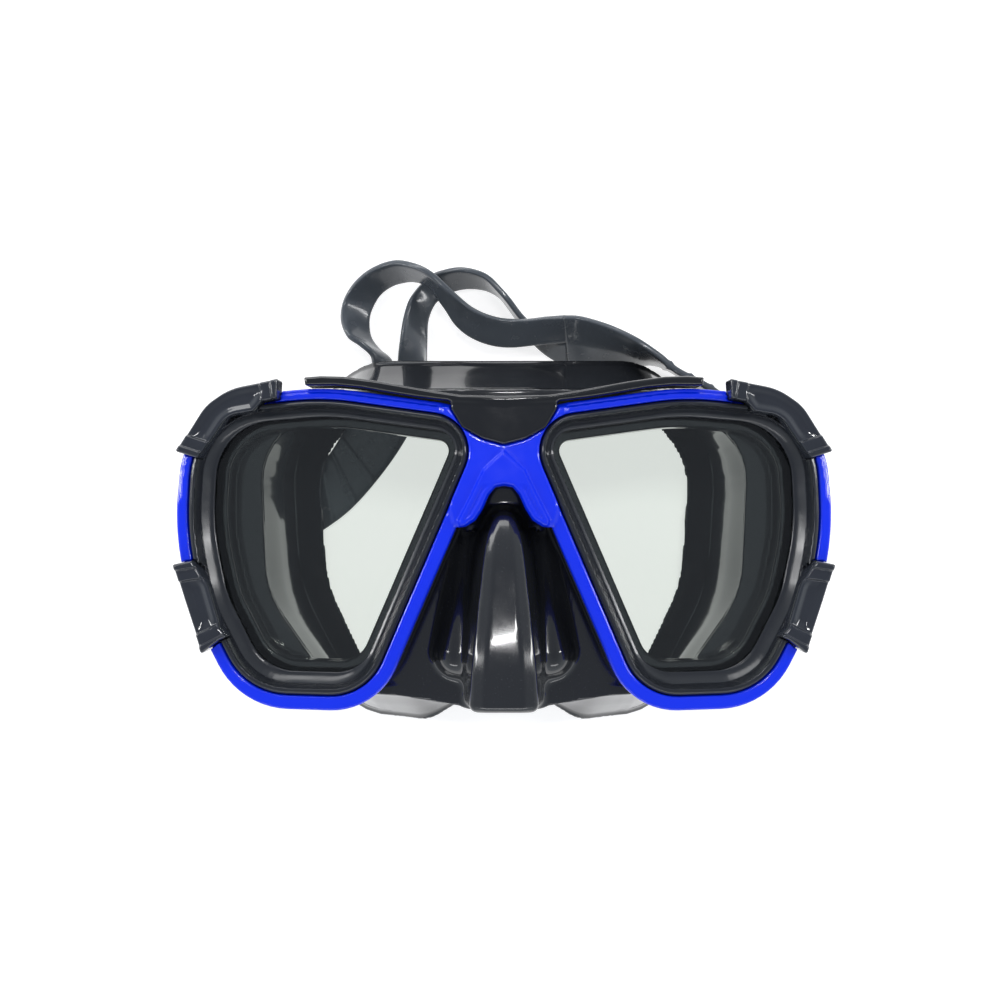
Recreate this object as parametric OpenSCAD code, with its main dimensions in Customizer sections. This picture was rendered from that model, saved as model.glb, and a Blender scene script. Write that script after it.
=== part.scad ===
// Two-lens diving mask lying on the rim of its skirt, lenses up.
// +Z points out through the lenses, +Y to the forehead, X across the face.
// The origin is on the rest plane, in the mask's plane of symmetry.

/* [Frame] */
// Height of the frame's front face above the rest plane
front_z = 60; // [59.5:0.5:60.5]
// Angle by which each half of the frame sweeps back
sweep_deg = 4; // [3.5:0.5:4.5]
// Width of the black bezel between the glass and the blue trim
bezel_w = 4.6; // [4.4:0.1:4.8]
// Width of the blue trim around each eye
trim_w = 3.4; // [3.2:0.1:3.5]

/* [Lenses] */
// Thickness of the tempered glass
glass_t = 3.2; // [3:0.1:3.2]
// How far the glass reaches under the bezel
glass_overlap = 2; // [1.6:0.1:2]

/* [Skirt] */
// Wall thickness of the silicone skirt
wall = 2.2; // [1.8:0.1:2.4]
// How far the flange's inner edge stands above the rim
flange_rise = 5; // [3:0.5:6]
// Rise of the rim at the forehead and the lip
front_lift = 9; // [8:0.5:10]
// Rise of the rim at the temples
side_lift = 4; // [4:0.25:5]

/* [Strap] */
// Width of the strap where it is not split
strap_w = 19.8; // [19:0.1:20]
// Thickness of the strap
strap_t = 1.8; // [1.6:0.1:1.8]

/* [Buckles] */
// Height of the swivel axis of the buckles
pivot_z = 31; // [30.8:0.1:31.2]
// Swivel of the right buckle as the strap draws it towards the forehead
right_tilt = 35; // [30:1:38]
// Radius of the swivel pin
pivot_r = 2; // [1.8:0.1:2.2]
// Radius of the strap roller
roller_r = 2.2; // [2:0.1:2.3]

/* [Hidden] */
$fn = 40;
arc_steps = 7;
skirt_steps = 4;
running_gap = 0.05;

// Depths of the stack in one half of the frame, before it is swept back
frame_back = front_z - 13;
seat_z = front_z - 10.1;
glass_back = front_z - 10;
glass_front = glass_back + glass_t;
bezel_back = glass_front + 0.1;
trim_back = front_z - 4.4;
clip_back = front_z - 2.9;
clip_front = front_z + 2.3;

// Visible edge of the glass as corners [x, y, corner radius]
lens_corners = [
  [11, 20.8, 5], [45.6, 25.7, 60], [75.2, 23.3, 15], [76.6, -3, 60],
  [72.9, -21, 30], [62.8, -40.3, 13], [37.5, -40.8, 10]
];
bezel_shift = [0.45, -0.7];
trim_shift = [-0.3, -0.4];

corner_clip_corners = [
  [57, 34.5, 0.5], [69.8, 32.2, 16], [76.2, 28, 12], [83.8, 16.2, 0.5], [77.9, 14.4, 0.5],
  [70.6, 25.2, 6], [63.8, 26.3, 1], [61.6, 28.7, 1], [57.3, 29.4, 0.3]
];
side_clip_corners = [
  [84.5, -12.6, 0.5], [81.5, -22, 30], [77, -35.4, 0.5], [72.2, -31.7, 0.4],
  [70.2, -30.9, 0.4], [72.3, -28.6, 0.8], [75.6, -17.5, 8], [79.2, -11.5, 0.5]
];

// Outlines of the skirt's right half at six heights, from forehead to lip
skirt_levels = [0, 12, 28, 37, 37.8, 47];
skirt_halves = [
  [[46, 46, 24], [68, 22, 34], [65.5, -24, 40], [46, -62.4, 20], [22.5, -61.8, 14], [8, -52, 8]],
  [[46, 41, 22], [66, 20, 32], [63, -24, 38], [45, -56.6, 18], [25, -56.6, 13], [9, -51.5, 8]],
  [[47, 35.5, 16], [67, 19, 26], [64, -24, 34], [46, -49.5, 14], [26, -50.5, 12], [10, -51, 8]],
  [[48, 33, 10], [68.5, 20, 20], [66.5, -22, 30], [49, -46.8, 12], [28, -47.8, 10], [10, -50.5, 6]],
  [[55, 32.9, 10], [78, 22.5, 11], [76.6, -20, 40], [60, -46.6, 10], [28, -47.7, 10], [10, -50.3, 6]],
  [[55, 31, 10], [78.4, 22.5, 11], [77, -20, 40], [60, -45, 10], [34, -45, 10], [12, -42.6, 6]]
];
flange_half = [[40, 33.5, 16], [55.5, 17, 24], [53, -22, 30], [39, -51.5, 12], [25, -52, 8], [9, -46.5, 5]];
// Inside of the wall where it meets the deck
inner_half = [[47, 28.6, 9], [66.2, 18.5, 18], [64.2, -22, 28], [48, -43, 10], [30, -43, 8], [12, -40, 5]];
skirt_centre = [0, -5];
skirt_roof = frame_back - 0.2;
deck_t = 2.4;

// The nose pocket from bridge to tip: its ridge [y, half width, z] and its foot [y, half width]
nose_ridge = [[3, 2, 54], [-4, 4, 58.5], [-20, 6, 64.5], [-38, 7.8, 69.4], [-46, 8.4, 70]];
nose_base = [[3, 5], [-4, 9], [-20, 11.5], [-38, 12.5], [-50.5, 10]];
wing_low = [12, -37.5, 45.5];
wing_high = [8.5, -6, 42];
nose_foot = 38;
wing_r = 6.5;

// The strap as pairs of points on its two edges, from the left buckle to the slit
left_run = [
  [[-69.5, -9.6, 4.5], [-69.5, 10.2, 4.5]], [[-66.5, -9, 1.7], [-66.8, 10.9, 1.9]],
  [[-61, -7.4, 1.3], [-62, 12.3, 1.5]], [[-54, -3.5, 1.3], [-57, 15.6, 4]],
  [[-46, 3, 1.3], [-53, 19, 5]], [[-37, 13.5, 1.3], [-48.5, 26.5, 4.6]],
  [[-30, 24, 1.3], [-44.5, 34.5, 5]], [[-25.5, 34, 1.3], [-42, 40.2, 4.6]],
  [[-24, 41.5, 1.3], [-40.5, 43.5, 3.6]]
];
front_band = [
  [[-32.3, 42.5, 2.4], [-40.5, 43.5, 3.6]], [[-35, 47.5, 1.3], [-40, 48.4, 8]],
  [[-38.5, 50.5, 1.2], [-43.5, 51.8, 8.8]], [[-41.2, 54.5, 1.2], [-47, 54.2, 8.5]],
  [[-41.7, 59.7, 1.2], [-49.3, 59.3, 6.8]], [[-40.7, 63.7, 1.2], [-48.8, 65.2, 5.8]],
  [[-38.3, 68, 1.2], [-45.2, 70.2, 7.4]], [[-34.5, 70.8, 1.6], [-40, 74, 8.6]],
  [[-30.3, 71.6, 3.4], [-32.8, 75.6, 11.6]], [[-26.2, 71, 6.6], [-26, 73.4, 15.6]],
  [[-22.6, 69.3, 8], [-21.3, 70.6, 17]], [[-20, 66, 8], [-17, 66.8, 16.8]],
  [[-17.4, 62.3, 7.2], [-13.1, 63.6, 15.4]], [[-14.5, 57.8, 6.4], [-9.5, 61.3, 13.6]],
  [[-10.2, 54.2, 6.2], [-5, 59.5, 12.4]], [[-4.2, 51.7, 6.4], [0, 58.5, 11.8]],
  [[2.3, 50.9, 6.8], [6, 58.3, 12]], [[10.7, 51.6, 7.8], [12.7, 58.6, 13.9]],
  [[18.9, 52.2, 8.7], [17.7, 58.4, 16.2]]
];
rear_band = [
  [[-24, 41.5, 1.3], [-32.3, 42.5, 2.4]], [[-23.9, 47, 1.2], [-32.4, 47.4, 4.4]],
  [[-23.9, 53.6, 1.2], [-31.2, 53.9, 7]], [[-23.7, 59.5, 1.2], [-30.2, 59.3, 7.6]],
  [[-22.3, 63.7, 1.2], [-28.6, 65, 7]], [[-20.2, 66.3, 1.2], [-26.2, 69.4, 5]],
  [[-17.3, 68.3, 1.2], [-22.3, 73, 5.4]], [[-14.8, 69.5, 1.2], [-17.9, 73.8, 8]],
  [[-11.3, 70.2, 1.2], [-13.3, 74, 9.6]], [[-7.5, 70.1, 1.2], [-8.7, 73.1, 10]],
  [[-4.2, 69.3, 1.2], [-5, 71.3, 10.3]], [[-0.9, 67.4, 1.2], [-1.8, 68, 10.5]],
  [[1.2, 64.9, 1.2], [1.3, 64.5, 10.4]], [[3.8, 61.2, 1.2], [5.2, 59.8, 8.8]],
  [[7, 55.8, 1.2], [9, 57, 7.6]], [[10.8, 51.4, 1.2], [13, 55.6, 7]],
  [[15.2, 48.2, 1.2], [16.2, 53, 7.6]], [[19.9, 46, 1.2], [18.9, 52.2, 8.7]]
];
right_run = [
  [[19.9, 46, 1.2], [17.7, 58.4, 16.2]], [[24.1, 45, 1.2], [22.6, 58.2, 15.8]],
  [[30, 44.6, 1.2], [29.6, 55.9, 17]], [[36, 45.2, 1.2], [35.2, 53, 18.8]],
  [[41, 46.2, 1.2], [40, 49.9, 20.2]], [[46.2, 46.8, 1.2], [45.3, 45.9, 20.6]],
  [[52.5, 44.2, 1.2], [50.2, 41.8, 20.6]], [[61.5, 37, 1.3], [59.5, 37, 20.6]],
  [[68, 25.5, 1.5], [67.3, 31.5, 19.5]], [[70.1, 13.5, 3], [70, 25.6, 17.4]]
];

// Positions inside a buckle, on the right side and before it swivels
plate_in = 77.7;
plate_t = 2.4;
lug_in = plate_in + plate_t + 0.3;
lug_t = 2.3;
lug_r = 6;
roller_at = [73.3, 17];
lever_at = [73.6, 26];
lever_pin_r = 0.8;
axle_r = 1.2;
half_slot = 11.2;
half_buckle = 13.8;
wrap_r = roller_r + 0.1 + strap_t / 2;
strap_exit_z = 8;
strap_tip_z = 5;

// ---- outlines -------------------------------------------------------------

function flat2(p) = [p[0], p[1]];
function unit(v) = v / norm(v);
function side_of(p, c, n) = sign(cross(flat2(c) - flat2(p), flat2(n) - flat2(c)));
function before(c, i) = c[(i + len(c) - 1) % len(c)];
function after(c, i) = c[(i + 1) % len(c)];

// One corner rounded into an arc
function corner_arc(p, c, n, steps) =
  let(
    u = unit(flat2(p) - flat2(c)), v = unit(flat2(n) - flat2(c)),
    half = acos(u * v) / 2,
    centre = flat2(c) + unit(u + v) * c[2] / sin(half),
    first = flat2(c) + u * c[2] / tan(half) - centre,
    turn = (180 - 2 * half) * side_of(p, c, n),
    start = atan2(first[1], first[0])
  )
  [for (k = [0:steps]) let(a = start + turn * k / steps) centre + c[2] * [cos(a), sin(a)]];

function rounded(c, steps = arc_steps) =
  [for (i = [0:len(c) - 1]) each corner_arc(before(c, i), c[i], after(c, i), steps)];

// The same corners moved outwards by d all round; the outlines here run clockwise
function grown(c, d) = [
  for (i = [0:len(c) - 1])
    let(
      u = unit(flat2(before(c, i)) - flat2(c[i])), v = unit(flat2(after(c, i)) - flat2(c[i])),
      half = acos(u * v) / 2,
      convex = -side_of(before(c, i), c[i], after(c, i)),
      q = flat2(c[i]) - unit(u + v) * convex * d / sin(half)
    )
    [q[0], q[1], max(0.2, c[i][2] + convex * d)]
];
function moved(c, v) = [for (q = c) [q[0] + v[0], q[1] + v[1], q[2]]];

bezel_corners = moved(grown(lens_corners, bezel_w), bezel_shift);
trim_corners = moved(grown(bezel_corners, trim_w), trim_shift);

module plate(corners, low, high)
  translate([0, 0, low]) linear_extrude(high - low) polygon(rounded(corners));

// One half of the frame, swept back about the middle of its front face
module half(side)
  mirror([side < 0 ? 1 : 0, 0, 0])
    translate([0, 0, front_z]) rotate([0, sweep_deg, 0]) translate([0, 0, -front_z]) children();

module both_halves() for (side = [-1, 1]) half(side) children();

// ---- frame and its covers ---------------------------------------------------

module frame_bridge()
  translate([0, 0, frame_back])
    linear_extrude(trim_back - 1.4 - frame_back)
      polygon([[-15, 27], [15, 27], [13, 4], [7.5, 6], [4.5, 9], [0, 10.5], [-4.5, 9], [-7.5, 6], [-13, 4]]);

module main_frame() color("#181a1e") difference() {
  union() {
    both_halves() plate(grown(trim_corners, -0.6), frame_back, trim_back - 0.1);
    frame_bridge();
  }
  both_halves() {
    plate(grown(lens_corners, 3.2), frame_back - 1, seat_z);
    plate(grown(lens_corners, glass_overlap + 0.2), seat_z - 1, glass_front + 0.2);
    plate(grown(bezel_corners, 0.1), bezel_back - 0.1, front_z);
  }
  for (side = [-1, 1]) lug_blank(side);
}

module bridge_outline() polygon([
  [-16, 27.6], [16, 27.6], [15, 5], [13, -2], [11.6, -3.2], [9.8, -3], [7.2, -1.4], [5.3, 1.6],
  [3.8, 5], [2.2, 6.9], [0, 7.3], [-2.2, 6.9], [-3.8, 5], [-5.3, 1.6], [-7.2, -1.4], [-9.8, -3],
  [-11.6, -3.2], [-13, -2], [-15, 5]
]);
module shield_outline(gap = 0) polygon([
  [-13.4 - gap, 29], [-13.4 - gap, 26.8], [-10.6 - gap, 22], [-5.2, 19 - gap], [0, 17.6 - gap],
  [5.2, 19 - gap], [10.6 + gap, 22], [13.4 + gap, 26.8], [13.4 + gap, 29]
]);

module front_trim() color("#0033f8") difference() {
  union() {
    both_halves() plate(trim_corners, trim_back, front_z - 0.6);
    translate([0, 0, trim_back]) linear_extrude(front_z + 1.2 - trim_back) bridge_outline();
  }
  both_halves() {
    plate(grown(bezel_corners, 0.15), trim_back - 2, front_z + 4);
    under_clips();
  }
  translate([0, 0, front_z - 1.1]) linear_extrude(9) shield_outline(0.15);
}

// Strip along the forehead side of the trim, with the shield over the bridge
brow_half = [
  [-0.5, 27.8], [14.6, 28.7], [21.8, 29.6], [29, 30.8], [36, 32.1], [42.9, 32.8], [50.5, 32.8],
  [50.8, 34.9], [46.5, 35.2], [40.7, 35], [32, 33.8], [23.3, 32.2], [17.5, 31.1], [11, 30.1], [-0.5, 29.7]
];
module brow_cover() color("#14161a") {
  both_halves() difference() {
    translate([0, 0, front_z - 7]) linear_extrude(8.2) polygon(brow_half);
    plate(grown(trim_corners, 0.1), front_z - 8, front_z + 2);
  }
  translate([0, 0, front_z - 1]) linear_extrude(1.8) union() {
    shield_outline();
    translate([-12, 26]) square([24, 3]);
  }
}

module lens(side) color("#dfeee6") half(side)
  plate(grown(lens_corners, glass_overlap), glass_back, glass_front);
module lens_left() lens(-1);
module lens_right() lens(1);

// Room for the two clips of one side, which lie over the trim and the bezel
module under_clips() {
  plate(grown(corner_clip_corners, 0.15), clip_back - 0.1, front_z + 4);
  plate(grown(side_clip_corners, 0.15), clip_back - 0.1, front_z + 4);
}

// The bezel steps down from its rim to the glass
module lens_bezel(side) color("#101215") half(side) difference() {
  plate(bezel_corners, bezel_back, front_z);
  plate(lens_corners, bezel_back - 1, front_z + 1);
  plate(grown(lens_corners, 1.2), bezel_back + 1.3, front_z + 1);
  plate(grown(bezel_corners, -1.9), bezel_back + 3.2, front_z + 1);
  under_clips();
}
module lens_bezel_left() lens_bezel(-1);
module lens_bezel_right() lens_bezel(1);

module corner_clip(side) color("#2b2e34") half(side)
  plate(corner_clip_corners, clip_back, clip_front);
module corner_clip_left() corner_clip(-1);
module corner_clip_right() corner_clip(1);

module side_clip(side) color("#2b2e34") half(side)
  plate(side_clip_corners, clip_back, clip_front);
module side_clip_left() side_clip(-1);
module side_clip_right() side_clip(1);

// ---- skirt --------------------------------------------------------------------

function ramp(t) = let(k = min(1, max(0, t))) k * k * (3 - 2 * k);
// How far the rim stands off the rest plane: nothing at the temples' and cheeks' corners
function lift(q) =
  let(
    across = q[1] > 0 ? ramp((abs(q[0]) - 34) / 20) : ramp((abs(q[0]) - 20) / 16),
    along = ramp((abs(q[1] - 3) - 12) / 15)
  )
  side_lift * (1 - along) + front_lift * (1 - across) * along;
function lifted(q, z) = [q[0], q[1], z + lift(q) * max(0, 1 - z / 26)];
function whole(h) = concat(h, [for (i = [len(h) - 1:-1:0]) [-h[i][0], h[i][1], h[i][2]]]);
function ring_at(half_outline, inset, z) =
  [for (q = rounded(grown(whole(half_outline), -inset), skirt_steps)) lifted(q, z)];
function level(i, inset, dz) = ring_at(skirt_halves[i], inset, skirt_levels[i] + dz);

function bands(rings, last) = let(n = len(rings[0]), m = len(rings)) [
  for (j = [0:last]) for (i = [0:n - 1])
    let(k = (i + 1) % n, up = (j + 1) % m * n)
    each [[j * n + i, up + k, up + i], [j * n + i, j * n + k, up + k]]
];
// A solid through rings of equally many points, with a fan at each end
module loft(rings) {
  n = len(rings[0]);
  m = len(rings);
  points = concat([for (r = rings) each r],
    [[skirt_centre[0], skirt_centre[1], rings[0][0][2]], [skirt_centre[0], skirt_centre[1], rings[m - 1][0][2]]]);
  polyhedron(points = points, faces = concat(
    bands(rings, m - 2),
    [for (i = [0:n - 1]) [(i + 1) % n, i, m * n]],
    [for (i = [0:n - 1]) [(m - 1) * n + i, (m - 1) * n + (i + 1) % n, m * n + 1]]));
}
// The same, closed from its last ring back to its first
module ring_loft(rings) polyhedron(points = [for (r = rings) each r], faces = bands(rings, len(rings) - 1));

// The pocket's outer or, inset by the wall, inner shape as hulls between slanted slices
nose_ends = len(nose_ridge) - 1;
function nose_slice(i, inset) =
  let(
    shift = i == 0 ? -inset : i == nose_ends ? inset : 0,
    top = [nose_ridge[i][1] - 0.7 * inset, nose_ridge[i][0] + shift, nose_ridge[i][2] - inset],
    foot = [nose_base[i][1] - inset, nose_base[i][0] + shift, nose_foot - 2 * inset]
  )
  [top, [-top[0], top[1], top[2]], foot, [-foot[0], foot[1], foot[2]]];
module nose(inset) {
  for (i = [0:nose_ends - 1]) hull()
    polyhedron(points = concat(nose_slice(i, inset), nose_slice(i + 1, inset)),
      faces = [[0, 1, 2], [3, 4, 5], [6, 7, 0]]);
  for (side = [-1, 1]) hull() {
    translate([side * wing_low[0], wing_low[1], wing_low[2]]) sphere(r = wing_r - inset, $fn = 16);
    translate([side * wing_high[0], wing_high[1], wing_high[2]]) sphere(r = wing_r - 2 - inset, $fn = 16);
  }
}
module roof(z, far) both_halves() translate([-20, -100, z]) cube([140, 200, far]);

// The wall and its sealing flange, as one closed profile carried round the face
module skirt_wall() ring_loft(concat(
  [for (i = [0:5]) level(i, 0, 0)],
  [ring_at(inner_half, 0, skirt_levels[5])],
  [for (i = [3:-1:1]) level(i, wall, 0)],
  [
    level(0, wall, wall), ring_at(flange_half, 0, flange_rise + 1.4),
    ring_at(flange_half, 0.4, flange_rise + 0.5), level(0, wall + 0.3, 0)
  ]
));
// The deck closes the wall under the frame
module skirt_deck() intersection() {
  loft([for (i = [1:5]) level(i, wall / 2, 0)]);
  both_halves() translate([0, -100, skirt_roof - deck_t]) cube([140, 200, deck_t]);
}

module skirt() color("#15171b") difference() {
  union() {
    difference() {
      union() {
        skirt_wall();
        skirt_deck();
      }
      roof(skirt_roof, 40);
    }
    both_halves() plate(grown(lens_corners, 3), skirt_roof - 0.6, seat_z - 0.05);
    nose(0);
  }
  nose(wall);
  both_halves() plate(grown(lens_corners, -2.2), skirt_roof - deck_t - 0.5, front_z);
}

// ---- buckles --------------------------------------------------------------------

module buckle_side(side)
  mirror([side < 0 ? 1 : 0, 0, 0])
    translate([0, 0, pivot_z]) rotate([side > 0 ? right_tilt : 0, 0, 0])
      translate([0, 0, -pivot_z]) children();

// A plate standing across X, drawn by its outline in Y and Z
module upright(low, high)
  translate([low, 0, 0]) rotate([90, 0, 90]) linear_extrude(high - low) children();
module along_x(at_z, low, high, r) translate([low, 0, at_z]) rotate([0, 90, 0]) cylinder(r = r, h = high - low);
module along_y(at, half_len, r)
  translate([at[0], half_len, at[1]]) rotate([90, 0, 0]) cylinder(r = r, h = 2 * half_len);

module lug_blank(side) mirror([side < 0 ? 1 : 0, 0, 0]) {
  along_x(pivot_z, lug_in, lug_in + lug_t, lug_r);
  translate([lug_in, -lug_r, pivot_z]) cube([lug_t, 2 * lug_r, 43 - pivot_z]);
}
module buckle_lug(side) color("#1b1d21") difference() {
  lug_blank(side);
  mirror([side < 0 ? 1 : 0, 0, 0]) along_x(pivot_z, lug_in - 1, lug_in + lug_t + 1, pivot_r);
}
module buckle_lug_left() buckle_lug(-1);
module buckle_lug_right() buckle_lug(1);

module swivel_pin(side) color("#3a3d42") mirror([side < 0 ? 1 : 0, 0, 0]) {
  along_x(pivot_z, plate_in - 0.3, lug_in + lug_t, pivot_r);
  along_x(pivot_z, plate_in - 1.6, plate_in - 0.3, pivot_r + 1.4);
  along_x(pivot_z, lug_in + lug_t, lug_in + lug_t + 1.2, pivot_r + 1.6);
}
module swivel_pin_left() swivel_pin(-1);
module swivel_pin_right() swivel_pin(1);

module buckle_body(side) color("#1b1d21") buckle_side(side) difference() {
  union() {
    upright(plate_in, plate_in + plate_t) polygon(rounded([
      [-half_buckle, 12, 1.5], [-half_buckle, 28.5, 3], [-6.2, 30.4, 2], [-6.2, pivot_z + 6.2, 6],
      [6.2, pivot_z + 6.2, 6], [6.2, 30.4, 2], [half_buckle, 28.5, 3], [half_buckle, 12, 1.5]
    ]));
    for (y = [-half_buckle, half_slot]) translate([69.6, y, 12]) cube([plate_in - 69.6, half_buckle - half_slot, 15.4]);
  }
  along_x(pivot_z, plate_in - 2, plate_in + plate_t + 2, pivot_r + running_gap);
  along_y(roller_at, 20, axle_r);
  along_y(lever_at, 20, lever_pin_r);
  translate([plate_in - 2, -7, 20.2]) cube([plate_t + 4, 14, 7.2]);
}
module buckle_body_left() buckle_body(-1);
module buckle_body_right() buckle_body(1);

module roller_axle(side) color("#b9bcc0") buckle_side(side) along_y(roller_at, half_buckle, axle_r);
module roller_axle_left() roller_axle(-1);
module roller_axle_right() roller_axle(1);

module strap_roller(side) color("#26282d") buckle_side(side) difference() {
  along_y(roller_at, half_slot - 0.6, roller_r);
  along_y(roller_at, half_slot, axle_r + running_gap);
}
module strap_roller_left() strap_roller(-1);
module strap_roller_right() strap_roller(1);

// The lever's tooth bites the strap over the roller; its tab comes out through the buckle's window
module release_lever(side) color("#26282d") buckle_side(side) difference() {
  union() {
    translate([0, 10.7, 0]) rotate([90, 0, 0]) linear_extrude(21.4)
      polygon([[71.2, 22.2], [72.6, 21.9], [75.8, 23.4], [76, 25.4], [75.2, 27.8], [73.6, 28.2], [72, 27.2], [71, 24.4]]);
    translate([0, 6.2, 0]) rotate([90, 0, 0]) linear_extrude(12.4)
      polygon([[75, 23], [82.6, 22.5], [83, 23], [83, 24.3], [82.6, 24.7], [75, 25.6]]);
  }
  along_y(lever_at, 20, lever_pin_r + running_gap);
  along_y(lever_at, 3.2, 2.15);
}
module release_lever_left() release_lever(-1);
module release_lever_right() release_lever(1);

module lever_pin(side) color("#b9bcc0") buckle_side(side) along_y(lever_at, half_buckle, lever_pin_r);
module lever_pin_left() lever_pin(-1);
module lever_pin_right() lever_pin(1);

module lever_spring(side) color("#b9bcc0") buckle_side(side) difference() {
  along_y(lever_at, 2.9, 1.8);
  along_y(lever_at, 4, lever_pin_r + 0.15);
}
module lever_spring_left() lever_spring(-1);
module lever_spring_right() lever_spring(1);

module strap_keeper(side) color("#15171b") buckle_side(side) translate([roller_at[0], 0, 0]) difference() {
  translate([-5.4, -11.4, 7.8]) cube([10.8, 22.8, 3.8]);
  translate([-4.2, -10.1, 7]) cube([8.4, 20.2, 6]);
}
module strap_keeper_left() strap_keeper(-1);
module strap_keeper_right() strap_keeper(1);

// ---- strap ------------------------------------------------------------------------

// A point of the buckle carried to where that side's buckle stands
function on_buckle(side, q) =
  let(a = side > 0 ? right_tilt : 0, dz = q[2] - pivot_z)
  [side * q[0], q[1] * cos(a) - dz * sin(a), pivot_z + q[1] * sin(a) + dz * cos(a)];
// Edge pairs from the strap's exit, over the roller and down to its tip
wrap_steps = 10;
wrap_path = concat(
  [[roller_at[0] - wrap_r, strap_exit_z], [roller_at[0] - wrap_r, 12.5]],
  [for (k = [0:wrap_steps]) roller_at + wrap_r * [-cos(180 * k / wrap_steps), sin(180 * k / wrap_steps)]],
  [[roller_at[0] + wrap_r, 12.5], [roller_at[0] + wrap_r, strap_tip_z]]
);
function wrap_run(side) = [
  for (q = wrap_path) [for (y = [-1, 1]) on_buckle(side, [q[0], y * strap_w / 2, q[1]])]
];
function reversed(v) = [for (i = [len(v) - 1:-1:0]) v[i]];

function middle(pair) = (pair[0] + pair[1]) / 2;
function band_corners(run, i) =
  let(
    run_dir = middle(run[min(i + 1, len(run) - 1)]) - middle(run[max(i - 1, 0)]),
    face = unit(cross(run_dir, run[i][1] - run[i][0])) * strap_t / 2
  )
  [run[i][0] + face, run[i][0] - face, run[i][1] + face, run[i][1] - face];
module ribbon(run)
  for (i = [0:len(run) - 2]) hull()
    polyhedron(points = concat(band_corners(run, i), band_corners(run, i + 1)), faces = [[0, 1, 2], [4, 5, 6], [3, 7, 0]]);

module strap() color("#3b4047") {
  ribbon(concat(reversed(wrap_run(-1)), left_run));
  ribbon(front_band);
  ribbon(rear_band);
  ribbon(concat(right_run, wrap_run(1)));
}

skirt();
main_frame();
front_trim();
brow_cover();
lens_left();
lens_right();
lens_bezel_left();
lens_bezel_right();
corner_clip_left();
corner_clip_right();
side_clip_left();
side_clip_right();
buckle_lug_left();
buckle_lug_right();
swivel_pin_left();
swivel_pin_right();
buckle_body_left();
buckle_body_right();
roller_axle_left();
roller_axle_right();
strap_roller_left();
strap_roller_right();
release_lever_left();
release_lever_right();
lever_pin_left();
lever_pin_right();
lever_spring_left();
lever_spring_right();
strap_keeper_left();
strap_keeper_right();
strap();
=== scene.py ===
import itertools
import math

import bpy
import numpy as np
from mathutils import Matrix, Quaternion, Vector


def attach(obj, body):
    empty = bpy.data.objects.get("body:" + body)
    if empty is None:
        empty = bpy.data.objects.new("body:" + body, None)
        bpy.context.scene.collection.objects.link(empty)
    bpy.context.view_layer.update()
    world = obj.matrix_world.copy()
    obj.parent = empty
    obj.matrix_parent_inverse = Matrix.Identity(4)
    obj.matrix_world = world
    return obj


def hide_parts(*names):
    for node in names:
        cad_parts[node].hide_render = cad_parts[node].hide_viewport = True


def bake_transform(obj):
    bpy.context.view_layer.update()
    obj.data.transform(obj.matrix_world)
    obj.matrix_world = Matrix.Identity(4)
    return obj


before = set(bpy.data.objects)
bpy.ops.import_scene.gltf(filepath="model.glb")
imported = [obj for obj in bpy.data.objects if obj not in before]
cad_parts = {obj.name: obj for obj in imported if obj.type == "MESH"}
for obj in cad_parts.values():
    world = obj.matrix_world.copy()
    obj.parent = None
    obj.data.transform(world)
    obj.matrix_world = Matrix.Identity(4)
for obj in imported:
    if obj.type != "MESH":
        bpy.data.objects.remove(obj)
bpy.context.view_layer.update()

# A two-lens diving mask lying on the rim of its skirt. Shapes are worked out in millimetres.
MM = 0.001
SIDES = {"left": -1, "right": 1}

# ---- driving sizes, as in the CAD part ------------------------------------------

FRONT_Z = 60.0
SWEEP = math.radians(4)
BEND_WIDTH = 15.0
BEZEL_W, TRIM_W = 4.6, 3.4
FRAME_BACK, SEAT_Z = 47.0, 49.9
GLASS_FRONT = 53.2
TRIM_BACK, TRIM_FRONT = 55.6, 59.4
BRIDGE_TOP, PLATEAU_RISE, PAD_SINK = 60.1, 1.05, 0.35
FRAME_GROOVE_Z, FRAME_GROOVE_R = 51.6, 0.55
BEZEL_LOW, BEZEL_SLOPE = 54.0, 2.3
CLIP_BACK, CLIP_FRONT = 57.1, 62.3
CLIP_LIP, CLIP_HOLLOW = 0.55, 0.9
WALL = 2.2
FLANGE_RISE, FRONT_LIFT, SIDE_LIFT = 5.0, 9.0, 4.0
SKIRT_ROOF, DECK_T, COLLAR_LOW = 46.8, 2.4, 37.75
RIB_PITCH, RIB_HEIGHT, RIB_HALF = 7.0, 0.4, 0.6
STRAP_W, STRAP_T = 19.8, 1.8
PIVOT_Z = 31.0
TILT = {"left": 0.0, "right": math.radians(35)}
ROLLER_AT, LEVER_AT = (73.3, 17.0), (73.6, 26.0)
WRAP_R = 3.2

# Outlines as corners (x, y, corner radius), right half of the mask
LENS = [(11, 20.8, 5), (45.6, 25.7, 60), (75.2, 23.3, 15), (76.6, -3, 60),
        (72.9, -21, 30), (62.8, -40.3, 13), (37.5, -40.8, 10)]
BEZEL_SHIFT, TRIM_SHIFT = (0.45, -0.7), (-0.3, -0.4)
CORNER_CLIP = [(57, 34.5, .5), (69.8, 32.2, 16), (76.2, 28, 12), (83.8, 16.2, .5), (77.9, 14.4, .5),
               (70.6, 25.2, 6), (63.8, 26.3, 1), (61.6, 28.7, 1), (57.3, 29.4, .3)]
SIDE_CLIP = [(84.5, -12.6, .5), (81.5, -22, 30), (77, -35.4, .5), (72.2, -31.7, .4),
             (70.2, -30.9, .4), (72.3, -28.6, .8), (75.6, -17.5, 8), (79.2, -11.5, .5)]
BRIDGE = [(16, 27.6), (15, 5), (13, -2), (11.6, -3.2), (9.8, -3), (7.2, -1.4), (5.3, 1.6),
          (3.8, 5), (2.2, 6.9), (0, 7.3)]
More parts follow.
